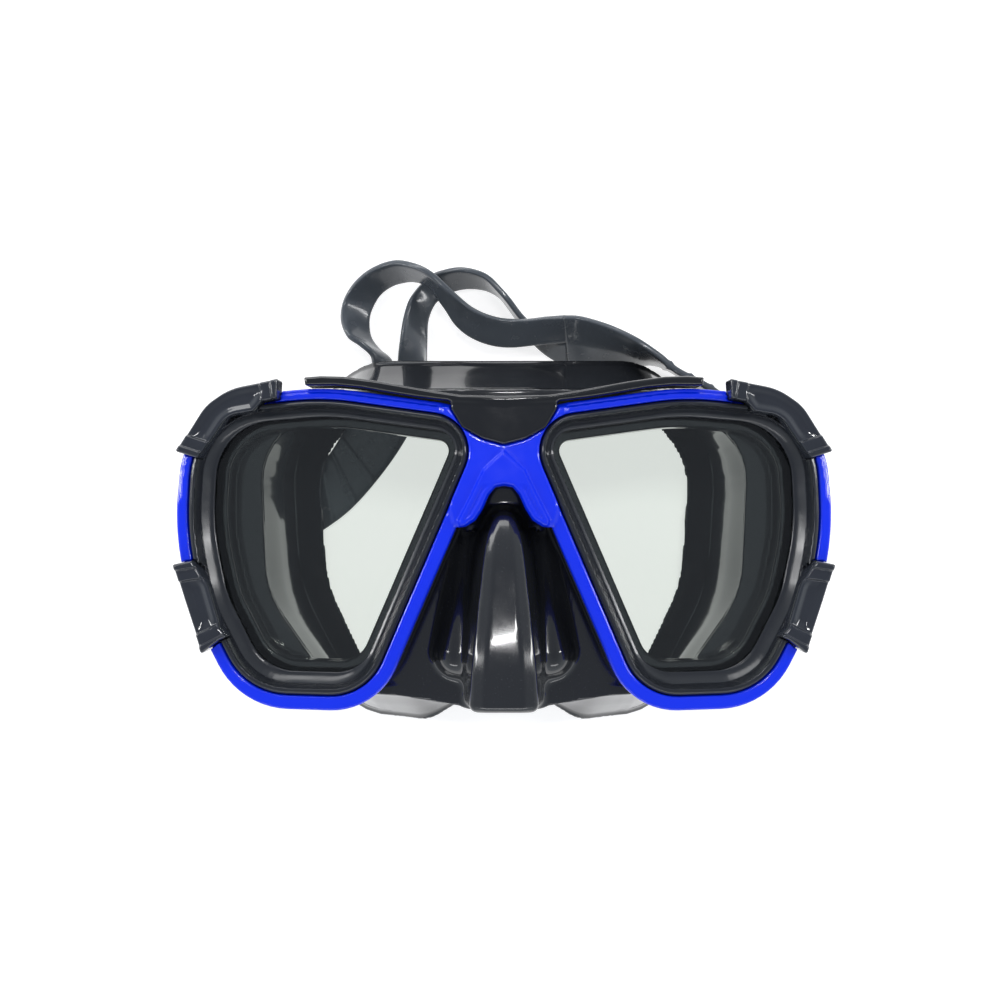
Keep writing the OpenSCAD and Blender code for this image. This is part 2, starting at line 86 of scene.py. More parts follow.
PLATEAU = [(0, 16.8), (5.6, 11.4), (8.4, 5.6), (12, -1.4), (11.2, -3.6), (9.4, -3.2), (6.8, -1.4),
           (4.9, 1.8), (3.4, 5), (1.9, 6.6), (0, 7)]
SHIELD = [(13.4, 29), (13.4, 26.8), (10.6, 22), (5.2, 19), (0, 17.6)]
FRAME_BRIDGE = [(15, 27), (13, 4), (7.5, 6), (4.5, 9), (0, 10.5)]
BROW = [(-0.5, 27.8), (14.6, 28.7), (21.8, 29.6), (29, 30.8), (36, 32.1), (42.9, 32.8), (50.5, 32.8),
        (50.8, 34.9), (46.5, 35.2), (40.7, 35), (32, 33.8), (23.3, 32.2), (17.5, 31.1), (11, 30.1),
        (-0.5, 29.7)]

# The skirt's outer outline at four heights, its collar's at two, the flange's inner edge,
# and the nose pocket from tip to bridge
WALL_LEVELS = [0, 12, 28, 37]
COLLAR_LEVELS = [37.8, 47]
WALL_HALVES = [
    [(46, 46, 24), (68, 22, 34), (65.5, -24, 40), (46, -61.9, 20), (22.5, -61.3, 14), (8, -52, 8)],
    [(46, 41, 22), (66, 20, 32), (63, -24, 38), (45, -56.6, 18), (25, -56.6, 13), (9, -51.5, 8)],
    [(47, 35.5, 16), (67, 19, 26), (64, -24, 34), (46, -49.5, 14), (26, -50.5, 12), (10, -51, 8)],
    [(48, 33, 10), (68.5, 20, 20), (66.5, -22, 30), (49, -46.8, 12), (28, -47.8, 10), (10, -50.5, 6)],
]
COLLAR_HALVES = [
    [(55, 32.9, 10), (78, 22.5, 11), (76.6, -20, 40), (60, -46.6, 10), (28, -47.7, 10), (10, -50.3, 6)],
    [(55, 31, 10), (78.4, 22.5, 11), (77, -20, 40), (60, -45, 10), (34, -45, 10), (12, -42.6, 6)],
]
FLANGE_HALF = [(40, 33.5, 16), (55.5, 17, 24), (53, -22, 30), (39, -51.5, 12), (25, -52, 8), (9, -46.5, 5)]
NOSE_Y = [-46, -38, -30, -20, -4, 3]
NOSE_TOP_Z = [69.7, 69.3, 67.9, 64.9, 58.5, 54]
NOSE_TOP_W = [8.4, 7.8, 7, 6, 4, 2]
NOSE_INNER_W = [4.8, 4.4, 3.9, 3.2, 2.0, 1.0]
NOSE_BASE_W = [10.6, 12.5, 12.2, 11.5, 9, 5]
NOSE_END, NOSE_FOOT = -49.0, 38.0
WING_LOW, WING_HIGH, WING_R = (12, -36.5, 44.5), (8.5, -8, 40.5), (6.5, 4.5)

# The strap's two edges at stations from buckle to slit, along both bands, and back
LEFT_RUN = [
    ((-69.5, -9.6, 4.5), (-69.5, 10.2, 4.5)), ((-66.5, -9, 1.7), (-66.8, 10.9, 1.9)),
    ((-61, -7.4, 1.3), (-62, 12.3, 1.5)), ((-54, -3.5, 1.3), (-57, 15.6, 4)),
    ((-46, 3, 1.3), (-53, 19, 5)), ((-37, 13.5, 1.3), (-48.5, 26.5, 4.6)),
    ((-30, 24, 1.3), (-44.5, 34.5, 5)), ((-25.5, 34, 1.3), (-42, 40.2, 4.6)),
    ((-24, 41.5, 1.3), (-40.5, 43.5, 3.6)),
]
FRONT_BAND = [
    ((-32.3, 42.5, 2.4), (-40.5, 43.5, 3.6)), ((-35, 47.5, 1.3), (-40, 48.4, 8)),
    ((-38.5, 50.5, 1.2), (-43.5, 51.8, 8.8)), ((-41.2, 54.5, 1.2), (-47, 54.2, 8.5)),
    ((-41.7, 59.7, 1.2), (-49.3, 59.3, 6.8)), ((-40.7, 63.7, 1.2), (-48.8, 65.2, 5.8)),
    ((-38.3, 68, 1.2), (-45.2, 70.2, 7.4)), ((-34.5, 70.8, 1.6), (-40, 74, 8.6)),
    ((-30.3, 71.6, 3.4), (-32.8, 75.6, 11.6)), ((-26.2, 71, 6.6), (-26, 73.4, 15.6)),
    ((-22.6, 69.3, 8), (-21.3, 70.6, 17)), ((-20, 66, 8), (-17, 66.8, 16.8)),
    ((-17.4, 62.3, 7.2), (-13.1, 63.6, 15.4)), ((-14.5, 57.8, 6.4), (-9.5, 61.3, 13.6)),
    ((-10.2, 54.2, 6.2), (-5, 59.5, 12.4)), ((-4.2, 51.7, 6.4), (0, 58.5, 11.8)),
    ((2.3, 50.9, 6.8), (6, 58.3, 12)), ((10.7, 51.6, 7.8), (12.7, 58.6, 13.9)),
    ((18.9, 52.2, 8.7), (17.7, 58.4, 16.2)),
]
REAR_BAND = [
    ((-24, 41.5, 1.3), (-32.3, 42.5, 2.4)), ((-23.9, 47, 1.2), (-32.4, 47.4, 4.4)),
    ((-23.9, 53.6, 1.2), (-31.2, 53.9, 7)), ((-23.7, 59.5, 1.2), (-30.2, 59.3, 7.6)),
    ((-22.3, 63.7, 1.2), (-28.6, 65, 7)), ((-20.2, 66.3, 1.2), (-26.2, 69.4, 5)),
    ((-17.3, 68.3, 1.2), (-22.3, 73, 5.4)), ((-14.8, 69.5, 1.2), (-17.9, 73.8, 8)),
    ((-11.3, 70.2, 1.2), (-13.3, 74, 9.6)), ((-7.5, 70.1, 1.2), (-8.7, 73.1, 10)),
    ((-4.2, 69.3, 1.2), (-5, 71.3, 10.3)), ((-0.9, 67.4, 1.2), (-1.8, 68, 10.5)),
    ((1.2, 64.9, 1.2), (1.3, 64.5, 10.4)), ((3.8, 61.2, 1.2), (5.2, 59.8, 8.8)),
    ((7, 55.8, 1.2), (9, 57, 7.6)), ((10.8, 51.4, 1.2), (13, 55.6, 7)),
    ((15.2, 48.2, 1.2), (16.2, 53, 7.6)), ((19.9, 46, 1.2), (18.9, 52.2, 8.7)),
]
RIGHT_RUN = [
    ((19.9, 46, 1.2), (17.7, 58.4, 16.2)), ((24.1, 45, 1.2), (22.6, 58.2, 15.8)),
    ((30, 44.6, 1.2), (29.6, 55.9, 17)), ((36, 45.2, 1.2), (35.2, 53, 18.8)),
    ((41, 46.2, 1.2), (40, 49.9, 20.2)), ((46.2, 46.8, 1.2), (45.3, 45.9, 20.6)),
    ((52.5, 44.2, 1.2), (50.2, 41.8, 20.6)), ((61.5, 37, 1.3), (59.5, 37, 20.6)),
    ((68, 25.5, 1.5), (67.3, 31.5, 19.5)), ((70.1, 13.5, 3), (70, 25.6, 17.4)),
]


# ---- outlines and distance fields --------------------------------------------------

def rounded(corners, steps=10):
    """The closed outline through corners (x, y, radius), each rounded into an arc."""
    points = []
    for i, (x, y, radius) in enumerate(corners):
        here = np.array((x, y), float)
        back = np.array(corners[i - 1][:2], float) - here
        on = np.array(corners[(i + 1) % len(corners)][:2], float) - here
        back, on = back / np.linalg.norm(back), on / np.linalg.norm(on)
        half = math.acos(np.clip(back @ on, -1, 1)) / 2
        towards = (back + on) / np.linalg.norm(back + on)
        centre = here + towards * radius / math.sin(half)
        first = here + back * radius / math.tan(half) - centre
        side = math.copysign(1, -back[0] * on[1] + back[1] * on[0])
        start = math.atan2(first[1], first[0])
        for k in range(steps + 1):
            a = start + side * (math.pi - 2 * half) * k / steps
            points.append(centre + radius * np.array((math.cos(a), math.sin(a))))
    return np.array(points)


def grown(corners, d):
    """The same corners moved outwards by d; the outlines run clockwise."""
    out = []
    for i, (x, y, radius) in enumerate(corners):
        here = np.array((x, y), float)
        back = np.array(corners[i - 1][:2], float) - here
        on = np.array(corners[(i + 1) % len(corners)][:2], float) - here
        back, on = back / np.linalg.norm(back), on / np.linalg.norm(on)
        half = math.acos(np.clip(back @ on, -1, 1)) / 2
        convex = math.copysign(1, back[0] * on[1] - back[1] * on[0])
        q = here - (back + on) / np.linalg.norm(back + on) * convex * d / math.sin(half)
        out.append((q[0], q[1], max(0.2, radius + convex * d)))
    return out


def moved(corners, shift):
    return [(x + shift[0], y + shift[1], radius) for x, y, radius in corners]


def mirrored(points):
    """Adds the mirror image of the right half, so that the outline closes across x = 0."""
    other = [(-p[0], *p[1:]) for p in reversed(points) if p[0] > 0]
    return list(points) + other


def through(at, knots, values):
    """A smooth curve through values given at knots, held level beyond both ends."""
    knots, values = np.array(knots, float), np.array(values, float)
    tangent = np.gradient(values, knots)
    at = np.clip(at, knots[0], knots[-1])
    i = np.clip(np.searchsorted(knots, at, side="right") - 1, 0, len(knots) - 2)
    gap = knots[i + 1] - knots[i]
    t = (at - knots[i]) / gap
    return ((1 + 2 * t) * (1 - t)**2 * values[i] + t * (1 - t)**2 * gap * tangent[i]
            + t * t * (3 - 2 * t) * values[i + 1] - t * t * (1 - t) * gap * tangent[i + 1])


class Outline:
    """A closed outline, called with x and y for the signed distance to it, negative inside."""

    def __init__(self, points):
        self.a = np.array([p[:2] for p in points], float)

    def __call__(self, x, y):
        x, y = np.broadcast_arrays(x, y)
        nearest = np.full(x.shape, 1e9)
        inside = np.zeros(x.shape, bool)
        for (ax, ay), (bx, by) in zip(self.a, np.roll(self.a, -1, 0)):
            ex, ey = bx - ax, by - ay
            length = ex * ex + ey * ey
            if length < 1e-10:
                continue
            wx, wy = x - ax, y - ay
            t = np.clip((wx * ex + wy * ey) / length, 0, 1)
            nearest = np.minimum(nearest, (wx - t * ex)**2 + (wy - t * ey)**2)
            if ey:
                inside ^= ((ay <= y) != (by <= y)) & (wx < wy * ex / ey)
        return np.sqrt(nearest) * np.where(inside, -1, 1)


def ease(t):
    t = np.clip(t, 0, 1)
    return t * t * (3 - 2 * t)


def meet(a, b, r=0.8):
    """Inside both fields, with the edge between them rounded over about r."""
    return np.maximum(a, b) + np.maximum(r - np.abs(a - b), 0)**2 / (4 * r)


def join(a, b, r=0.8):
    """Inside either field, with a fillet of about r."""
    return -meet(-a, -b, r)


lens_d = Outline(rounded(LENS))
bezel_corners = moved(grown(LENS, BEZEL_W), BEZEL_SHIFT)
bezel_d = Outline(rounded(bezel_corners))
trim_d = Outline(rounded(moved(grown(bezel_corners, TRIM_W), TRIM_SHIFT)))
corner_clip_d = Outline(rounded(CORNER_CLIP, 6))
side_clip_d = Outline(rounded(SIDE_CLIP, 6))
bridge_d = Outline(mirrored(BRIDGE))
plateau_d = Outline(mirrored(PLATEAU))
shield_d = Outline(mirrored(SHIELD))
frame_bridge_d = Outline(mirrored(FRAME_BRIDGE))
brow_d = Outline(BROW)


# ---- meshes from fields ------------------------------------------------------------------

def surface_net(field, low, step):
    """Vertices and quads along the zero level of a field sampled on a grid."""
    inside = field < 0
    corners = list(itertools.product((0, 1), repeat=3))
    size = [n - 1 for n in field.shape]
    at = [field[i:i + size[0], j:j + size[1], k:k + size[2]] for i, j, k in corners]
    count = sum((v < 0).astype(np.int8) for v in at)
    crossed = (count > 0) & (count < 8)
    cells = np.argwhere(crossed)
    index = np.full(crossed.shape, -1)
    index[crossed] = np.arange(len(cells))
    values = [v[crossed] for v in at]
    total, number = np.zeros((len(cells), 3)), np.zeros(len(cells))
    for p, q in itertools.combinations(range(8), 2):
        a, b = np.array(corners[p], float), np.array(corners[q], float)
        if abs(a - b).sum() != 1:
            continue
        cut = (values[p] < 0) != (values[q] < 0)
        t = values[p][cut] / (values[p][cut] - values[q][cut])
        total[cut] += a + t[:, None] * (b - a)
        number[cut] += 1
    points = np.array(low) + step * (cells + total / number[:, None])
    quads = []
    for axis in range(3):
        order = (axis, (axis + 1) % 3, (axis + 2) % 3)
        solid, name = inside.transpose(order), index.transpose(order)
        i, j, k = np.nonzero(solid[:-1, 1:-1, 1:-1] != solid[1:, 1:-1, 1:-1])
        quad = np.stack([name[i, j, k], name[i, j + 1, k], name[i, j + 1, k + 1], name[i, j, k + 1]], 1)
        quads.append(np.where(solid[i, j + 1, k + 1][:, None], quad, quad[:, ::-1]))
    return points, np.concatenate(quads)


def slope(shape, points, reach):
    """The field's gradient at the points, and its value there."""
    x, y, z = points.T
    value = shape(x, y, z)
    ahead = [shape(x + reach, y, z), shape(x, y + reach, z), shape(x, y, z + reach)]
    behind = [shape(x - reach, y, z), shape(x, y - reach, z), shape(x, y, z - reach)]
    return np.stack(ahead, 1) / (2 * reach) - np.stack(behind, 1) / (2 * reach), value


def modelled(shape, low, high, step, symmetric=True):
    """Points, quads and normals of the solid where shape(x, y, z) is negative."""
    start = np.array(low, float)
    n = np.ceil((np.array(high) - start) / step).astype(int) + 1
    axes = [start[i] + step * np.arange(n[i]) for i in range(3)]
    if symmetric:
        axes[0] = step * np.arange(int(high[0] / step) + 2)
    field = shape(axes[0][:, None, None], axes[1][None, :, None], axes[2][None, None, :])
    if symmetric:
        field = np.concatenate([field[:0:-1], field])
        start[0] = -axes[0][-1]
    points, quads = surface_net(field, start, step)
    for _ in range(3):
        gradient, value = slope(shape, points, 0.05)
        points -= np.clip(value / np.maximum((gradient**2).sum(1), 0.2), -step, step)[:, None] * gradient
    gradient, _ = slope(shape, points, 0.12)
    return points, quads, gradient / np.maximum(np.linalg.norm(gradient, axis=1), 1e-9)[:, None]


def sweep_angle(x):
    return SWEEP * ease(np.abs(x) / BEND_WIDTH) * np.sign(x)


def swept(points, normals):
    """Bends the flat frame back to both sides about the middle of its front face."""
    x, y, z = points.T
    a = sweep_angle(x)
    turned = [np.stack([v[:, 0] * np.cos(a) + v[:, 2] * np.sin(a), v[:, 1],
                        -v[:, 0] * np.sin(a) + v[:, 2] * np.cos(a)], 1)
              for v in (np.stack([x, y, z - FRONT_Z], 1), normals)]
    return turned[0] + (0, 0, FRONT_Z), turned[1]


def mesh_object(name, points, faces, material, normals=None):
    mesh = bpy.data.meshes.new(name)
    mesh.from_pydata((np.asarray(points) * MM).tolist(), [], [list(map(int, f)) for f in faces])
    mesh.polygons.foreach_set("use_smooth", [True] * len(mesh.polygons))
    mesh.update()
    if normals is not None:
        mesh.normals_split_custom_set_from_vertices(normals.tolist())
    mesh.materials.append(material)
    piece = bpy.data.objects.new(name, mesh)
    bpy.context.scene.collection.objects.link(piece)
    return piece


def place(piece, body, slot, *nodes):
    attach(piece, body)
    if nodes:
        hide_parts(*nodes)
    return piece


def mirror_of(points, quads, normals):
    flip = np.array((-1, 1, 1))
    return points * flip, quads[:, ::-1], normals * flip


# ---- materials ----------------------------------------------------------------------------

def noise(tree, coords, scale, detail=3.0, roughness=0.5):
    n = tree.nodes.new("ShaderNodeTexNoise")
    n.inputs["Scale"].default_value = scale
    n.inputs["Detail"].default_value = detail
    n.inputs["Roughness"].default_value = roughness
    tree.links.new(coords, n.inputs["Vector"])
    return n.outputs["Fac"]


def map_range(tree, value, low, high, to_low, to_high):
    n = tree.nodes.new("ShaderNodeMapRange")
    for name, v in (("From Min", low), ("From Max", high), ("To Min", to_low), ("To Max", to_high)):
        n.inputs[name].default_value = v
    tree.links.new(value, n.inputs["Value"])
    return n.outputs["Result"]


def mixed(tree, factor, a, b):
    n = tree.nodes.new("ShaderNodeMix")
    n.data_type = "RGBA"
    tree.links.new(factor, n.inputs[0])
    for socket, value in ((n.inputs[6], a), (n.inputs[7], b)):
        if isinstance(value, bpy.types.NodeSocket):
            tree.links.new(value, socket)
        else:
            socket.default_value = (*value, 1)
    return n.outputs[2]


def surface(name, colour, rough, spread=0.05, mottle=0.18, grain=1800, depth=0.01, specks=0.0,
            streak=(1, 1, 1), **sockets):
    """A moulded or metal surface: mottled colour, uneven gloss, fine grain and a few pale specks."""
    m = bpy.data.materials.new(name)
    m.use_nodes = True
    tree = m.node_tree
    shader = tree.nodes["Principled BSDF"]
    coords = tree.nodes.new("ShaderNodeTexCoord")
    stretch = tree.nodes.new("ShaderNodeMapping")
    stretch.inputs["Scale"].default_value = streak
    tree.links.new(coords.outputs["Object"], stretch.inputs["Vector"])
    at = stretch.outputs["Vector"]
    dark = [c * (1 - mottle) for c in colour]
    light = [min(1, c * (1 + mottle)) for c in colour]
    base = mixed(tree, noise(tree, at, 70), dark, light)
    if specks:
        dust = map_range(tree, noise(tree, at, 2600, 1.0), 0.71, 0.78, 0, specks)
        base = mixed(tree, dust, base, (0.45, 0.47, 0.5))
    tree.links.new(base, shader.inputs["Base Color"])
    tree.links.new(map_range(tree, noise(tree, at, 260), 0.3, 0.7, rough - spread, rough + spread),
                   shader.inputs["Roughness"])
    bump = tree.nodes.new("ShaderNodeBump")
    bump.inputs["Strength"].default_value = 0.35
    bump.inputs["Distance"].default_value = depth * MM
    tree.links.new(noise(tree, at, grain, 4.0), bump.inputs["Height"])
    tree.links.new(bump.outputs["Normal"], shader.inputs["Normal"])
    for socket, value in sockets.items():
        shader.inputs[socket.replace("_", " ")].default_value = value
    return m


def glass_surface():
    """Clear, slightly green tempered glass: it lets light straight through and reflects by angle."""
    m = bpy.data.materials.new("tempered_glass")
    m.use_nodes = True
    tree = m.node_tree
    tree.nodes.remove(tree.nodes["Principled BSDF"])
    through = tree.nodes.new("ShaderNodeBsdfTransparent")
    gloss = tree.nodes.new("ShaderNodeBsdfGlossy")
    fresnel = tree.nodes.new("ShaderNodeFresnel")
    mix = tree.nodes.new("ShaderNodeMixShader")
    coords = tree.nodes.new("ShaderNodeTexCoord")
    tint = mixed(tree, noise(tree, coords.outputs["Object"], 30),
                 (0.955, 0.985, 0.955), (0.975, 0.995, 0.972))
    tree.links.new(tint, through.inputs["Color"])
    smear = map_range(tree, noise(tree, coords.outputs["Object"], 90), 0.35, 0.75, 0.0, 0.06)
    tree.links.new(smear, gloss.inputs["Roughness"])
    fresnel.inputs["IOR"].default_value = 1.5
    tree.links.new(fresnel.outputs["Fac"], mix.inputs["Fac"])
    tree.links.new(through.outputs["BSDF"], mix.inputs[1])
    tree.links.new(gloss.outputs["BSDF"], mix.inputs[2])
    tree.links.new(mix.outputs["Shader"], tree.nodes["Material Output"].inputs["Surface"])
    return m


silicone = surface("skirt_silicone", (0.013, 0.014, 0.0165), 0.14, 0.03, grain=600, depth=0.0012,
                   specks=0.07, Coat_Weight=0.5, Coat_Roughness=0.05)
strap_silicone = surface("strap_silicone", (0.07, 0.08, 0.092), 0.24, 0.05, grain=1400, depth=0.006,
                         specks=0.07, Coat_Weight=0.3, Coat_Roughness=0.14)
frame_black = surface("frame_black", (0.004, 0.0045, 0.006), 0.12, 0.03, grain=1600, depth=0.003,
                      Coat_Weight=0.4, Coat_Roughness=0.04)
bezel_black = surface("bezel_black", (0.017, 0.019, 0.024), 0.19, 0.05, grain=2200, depth=0.005)
clip_grey = surface("clip_grey", (0.02, 0.023, 0.031), 0.13, 0.03, grain=1500, depth=0.003,
                    Coat_Weight=0.4, Coat_Roughness=0.04)
trim_blue = surface("trim_blue", (0.0, 0.026, 0.84), 0.17, 0.04, mottle=0.05, grain=1500, depth=0.004,
                    Coat_Weight=0.2, Coat_Roughness=0.06)
buckle_black = surface("buckle_black", (0.012, 0.013, 0.016), 0.34, 0.07, grain=2600, depth=0.015,
                       specks=0.15)
steel = surface("pin_steel", (0.6, 0.61, 0.62), 0.27, 0.08, mottle=0.1, grain=2400, depth=0.004,
                streak=(1, 0.08, 1), Metallic=1.0)
glass = glass_surface()


# ---- frame, trim and covers ---------------------------------------------------------------

def frame_shape(x, y, z):
    x = np.abs(x)
    lens, bezel = lens_d(x, y), bezel_d(x, y)
    side = np.minimum(trim_d(x, y) + 0.6, frame_bridge_d(x, y))
    solid = meet(side, np.maximum(FRAME_BACK - z, z - TRIM_BACK + 0.1), 1.2)
    groove = np.hypot(side, z - FRAME_GROOVE_Z) - FRAME_GROOVE_R
    solid = meet(solid, -groove, 0.3)
    seat = np.maximum(lens - 3.2, z - SEAT_Z)
    pocket = np.maximum(lens - 2.2, z - GLASS_FRONT - 0.2)
    mouth = np.maximum(bezel - 0.1, GLASS_FRONT - z)
    return meet(solid, -np.minimum(np.minimum(seat, pocket), mouth), 0.5)


def under_clips(x, y, z):
    """The room that both clips of one side take out of the trim and the bezel."""
    return np.maximum(np.minimum(corner_clip_d(x, y), side_clip_d(x, y)) - 0.15, CLIP_BACK - 0.1 - z)


def trim_shape(x, y, z):
    x = np.abs(x)
    edge, bezel = trim_d(x, y), bezel_d(x, y) - 0.15
    ledge = 0.55 * (1 - ease((-edge - 1.0) / 0.4)) * ease((y - 2) / 10)
    ring = meet(edge, np.maximum(z - TRIM_FRONT + ledge, TRIM_BACK - z), 0.9)
    inner = plateau_d(x, y)
    pads = ease((-inner - 1.7) / 0.5) * ease((8 - y) / 2)
    raised = BRIDGE_TOP + PLATEAU_RISE * ease(-inner) - PAD_SINK * pads
    bridge = meet(bridge_d(x, y), np.maximum((z - raised) * 0.8, TRIM_BACK - z), 1.3)
    solid = join(ring, bridge, 0.8)
    solid = meet(solid, -bezel, 0.7)
    solid = np.maximum(solid, -under_clips(x, y, z))
    return meet(solid, -np.maximum(shield_d(x, y) - 0.2, FRONT_Z - 1.1 - z), 0.4)


def brow_shape(x, y, z):
    x = np.abs(x)
    outline = np.maximum(brow_d(x, y), 0.1 - trim_d(x, y))
    strip = meet(outline, np.maximum(FRONT_Z - 7 - z, z - FRONT_Z - 1.1), 1.2)
    crown = 0.25 * ease((x - 2) / 9)
    shield = meet(shield_d(x, y), np.maximum(FRONT_Z - 1 - z, z - FRONT_Z - 0.8 + crown), 0.9)
    return join(strip, shield, 1.0)


def bezel_shape(x, y, z):
    """Rounded rim outside, then a hollow slope down to the glass."""
    lens, bezel = lens_d(x, y), bezel_d(x, y)
    across = lens / np.maximum(lens - bezel, 0.5)
    hollow = BEZEL_LOW + BEZEL_SLOPE * np.clip(across / 0.58, 0, 1)**1.5
    top = hollow + (FRONT_Z - 0.05 - hollow) * ease((across - 0.54) / 0.14)
    solid = meet(bezel, (z - top) * 0.75, 1.5)
    solid = np.maximum(meet(solid, -lens, 0.35), GLASS_FRONT + 0.1 - z)
    return np.maximum(solid, -under_clips(x, y, z))


def clip_shape(outline, end_a, end_b):
    """A cover clip with raised, stepped lips towards two ends and a hollowed middle."""
    def shape(x, y, z):
        edge = outline(x, y)
        a = (x - end_a[0]) * end_a[2] + (y - end_a[1]) * end_a[3]
        b = (x - end_b[0]) * end_b[2] + (y - end_b[1]) * end_b[3]
        lip = sum(CLIP_LIP * (1 - ease((s - first) / 0.5)) for s in (a, b) for first in (1.6, 4.6))
        hollow = CLIP_HOLLOW * ease((-edge - 0.4) / 2.2) * ease((a - 3.5) / 4) * ease((b - 3.5) / 4)
        top = CLIP_FRONT - 1.15 + np.minimum(lip, 2 * CLIP_LIP) - hollow
        return meet(edge, np.maximum((z - top) * 0.85, CLIP_BACK - z), 0.9)
    return shape


def add_pair(name, shape, low, high, step, material, slot, node):
    points, quads, normals = modelled(shape, low, high, step, symmetric=False)
    points, normals = swept(points, normals)
    for side, sign in SIDES.items():
        parts = (points, quads, normals) if sign > 0 else mirror_of(points, quads, normals)
        piece = mesh_object(f"{name}_{side}", parts[0], parts[1], material, parts[2])
        place(piece, "root", slot, f"{node}_{side}")


def add_whole(name, shape, low, high, step, material, slot, node):
    points, quads, normals = modelled(shape, low, high, step)
    points, normals = swept(points, normals)
    place(mesh_object(name, points, quads, material, normals), "root", slot, node)


add_whole("frame_shell", frame_shape, (-86, -52, 46), (86, 35, 56.5), 0.6,
          frame_black, "frame_black", "main_frame")
add_whole("trim_ring", trim_shape, (-86, -52, 54.5), (86, 35, 62.5), 0.45,
          trim_blue, "trim_blue", "front_trim")
add_whole("brow_strip", brow_shape, (-52, 16, 50), (52, 38, 62.5), 0.4,
          frame_black, "frame_black", "brow_cover")
add_pair("bezel_ring", bezel_shape, (1, -50, 52.4), (84, 34, 61), 0.42,
         bezel_black, "bezel_black", "lens_bezel")
add_pair("corner_cover", clip_shape(corner_clip_d, (57, 32, 1, -0.1), (81, 15.2, -0.3, 0.95)),
         (56, 13.5, 56.3), (85, 35.5, 63), 0.33, clip_grey, "clip_grey", "corner_clip")
add_pair("side_cover", clip_shape(side_clip_d, (82, -12, -0.15, -0.99), (73.8, -33.6, 0.45, 0.89)),
         (69, -36.5, 56.3), (85.5, -10.5, 63), 0.33, clip_grey, "clip_grey", "side_clip")


# ---- skirt --------------------------------------------------------------------------------

wall_d = [Outline(rounded(mirrored(half), 5)) for half in WALL_HALVES]
collar_d = [Outline(rounded(mirrored(half), 5)) for half in COLLAR_HALVES]
flange_d = Outline(rounded(mirrored(FLANGE_HALF), 5))
window_d = Outline(rounded(grown(LENS, -2.2)))
seat_d = Outline(rounded(grown(LENS, 3)))


def rim_lift(x, y):
    across = np.where(y > 0, ease((x - 34) / 20), ease((x - 20) / 16))
    along = ease((np.abs(y - 3) - 12) / 15)
    return SIDE_LIFT * (1 - along) + FRONT_LIFT * (1 - across) * along


def blended(fields, knots, x, y, z):
    """The distance to an outline that changes smoothly with z from one given outline to the next."""
    weights = np.eye(len(knots))
    return sum(through(z, knots, w) * d(x, y) for w, d in zip(weights, fields))


def wings_shape(x, y, z):
    """The ridge on each side of the nose pocket, thick at the nostril and thin at the bridge."""
    low, run = np.array(WING_LOW, float), np.subtract(WING_HIGH, WING_LOW)
    off = (x - low[0], y - low[1], z - low[2])
    t = np.clip(sum(o * r for o, r in zip(off, run)) / (run @ run), 0, 1)
    gap = np.sqrt(sum((o - t * r)**2 for o, r in zip(off, run)))
    return gap - WING_R[0] - (WING_R[1] - WING_R[0]) * t


def nose_shape(x, y, z):
    """The nose pocket: a plateau with bevelled edges on slanting sides, from bridge to tip."""
    profiles = (NOSE_TOP_Z, NOSE_TOP_W, NOSE_INNER_W, NOSE_BASE_W)
    top, outer, inner, base = (through(y, NOSE_Y, values) for values in profiles)
    side = x - outer - (base - outer) * np.clip((top - 1.2 - z) / (top - NOSE_FOOT), 0, 2)
    bevel = (z - top + 0.42 * (x - inner)) * 0.9
    start = np.hypot(np.maximum(x, 0), y + 4) - 5.5
    ends = np.maximum(NOSE_END + 0.12 * (z - 60) - y, np.where(y > -4, start, -5.5))
    return meet(meet(meet((z - top) * 0.95, bevel, 0.25), side * 0.96, 0.7), ends, 2.6)


def skirt_shape(x, y, z):
    x = np.abs(x)
    lift = rim_lift(x, y)
    low = np.where(z < 26, (z - lift) / (1 - lift / 26), z)
    outer = blended(wall_d, WALL_LEVELS, x, y, low)
    angle = sweep_angle(x)
    depth = FRONT_Z + x * np.sin(angle) + (z - FRONT_Z) * np.cos(angle)
    across = x * np.cos(angle) + (FRONT_Z - SKIRT_ROOF) * np.sin(angle)
    solid = np.abs(outer + WALL / 2) - WALL / 2
    collar = blended(collar_d, COLLAR_LEVELS, x, y, z)
    solid = join(solid, meet(np.maximum(collar, -outer - WALL), COLLAR_LOW - z, 0.8), 0.5)
    rim, edge = -wall_d[0](x, y), flange_d(x, y)
    share = np.clip(rim / np.maximum(rim + edge, 1), 0, 1)
    height = (FLANGE_RISE + 0.4) * share**1.35 + 0.65
    flange = meet((np.abs(low - height) - 0.6) * 0.9, np.maximum(-rim, -edge), 0.8)
    solid = join(solid, flange, 2.2)
    deck = np.maximum(np.minimum(outer, collar) + 0.4, np.abs(depth - SKIRT_ROOF + DECK_T / 2) - DECK_T / 2)
    solid = join(solid, deck, 1.6)
    solid = meet(meet(solid, depth - SKIRT_ROOF, 0.6), -low, 0.8)
    seats = meet(seat_d(across, y), np.maximum(depth - SEAT_Z + 0.05, SKIRT_ROOF - 0.8 - depth), 0.6)
    solid = np.minimum(solid, seats)
    pocket = join(nose_shape(x, y, z), wings_shape(x, y, z), 3.0)
    solid = join(solid, meet(pocket, NOSE_FOOT - z, 0.8), 2.4)
    solid = meet(solid, -np.maximum(pocket + WALL, NOSE_FOOT - 2 * WALL - z), 0.8)
    window = np.maximum(window_d(across, y), SKIRT_ROOF - DECK_T - 0.5 - depth)
    return meet(solid, -window, 0.8)


points, quads, normals = modelled(skirt_shape, (-80, -66.5, -1), (80, 47.5, 71.4), 0.75)
place(mesh_object("skirt_moulding", points, quads, silicone, normals), "root", "skirt", "skirt")


# ---- strap --------------------------------------------------------------------------------

